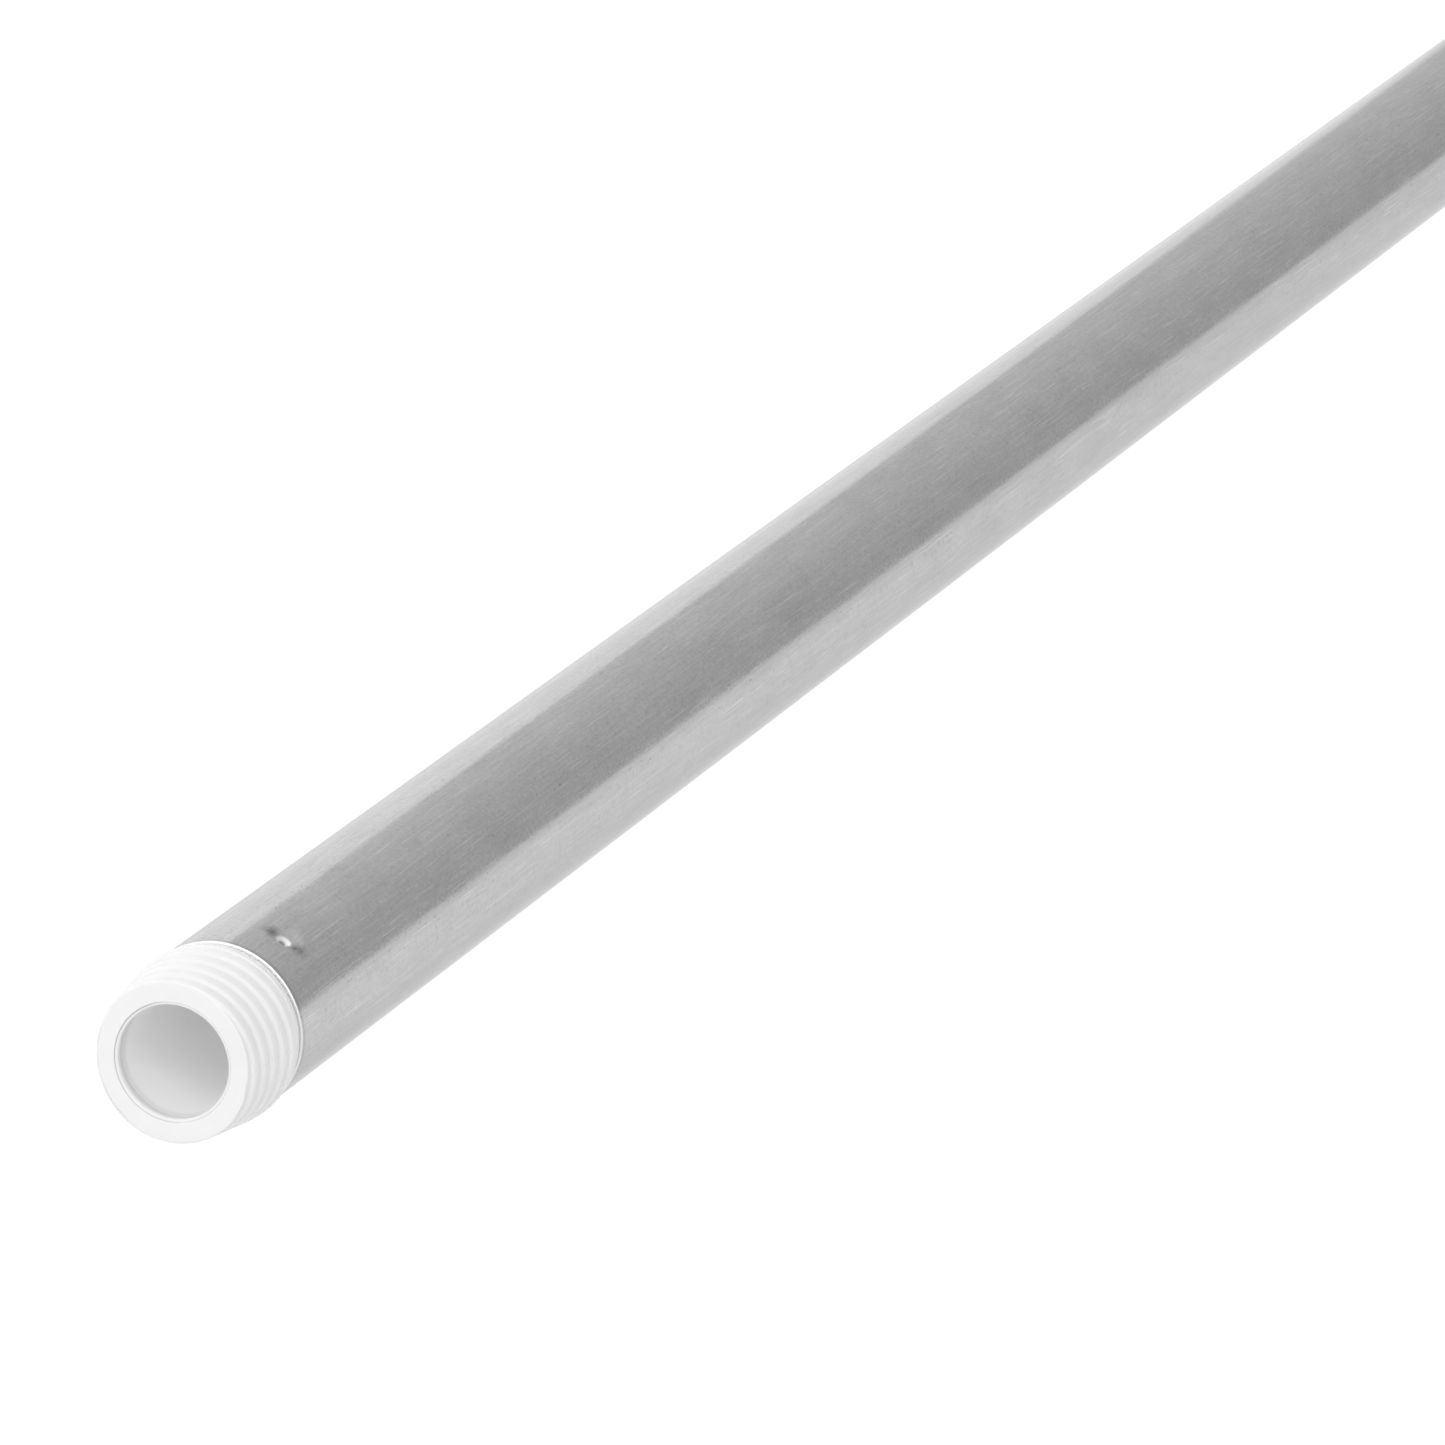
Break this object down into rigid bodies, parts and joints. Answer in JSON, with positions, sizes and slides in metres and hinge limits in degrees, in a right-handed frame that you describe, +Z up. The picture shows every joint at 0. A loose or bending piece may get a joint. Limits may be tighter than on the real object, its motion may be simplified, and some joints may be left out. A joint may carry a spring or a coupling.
{
  "type": "threaded pole handle",
  "caption": "Straight round metal tube handle with a hollow white tapered screw end at the nose and a hanging cap at the far end.",
  "frame": {"origin": "on the pole's centre line at the cut end of the tube that holds the threaded end", "axes": "+X along the pole from the threaded nose towards the far end, +Z up with the pole lying level, +Y to the left when looking along +X"},
  "size_m": [1.456, 0.0258, 0.0258],
  "materials": {
    "tube_metal": "drawn, lightly brushed along its length, unpainted",
    "white_plastic": "moulded, satin"
  },
  "bodies": {
    "root": {"tube": "tube_metal", "threaded_end": "white_plastic", "hanging_cap": "white_plastic"}
  },
  "joints": []
}
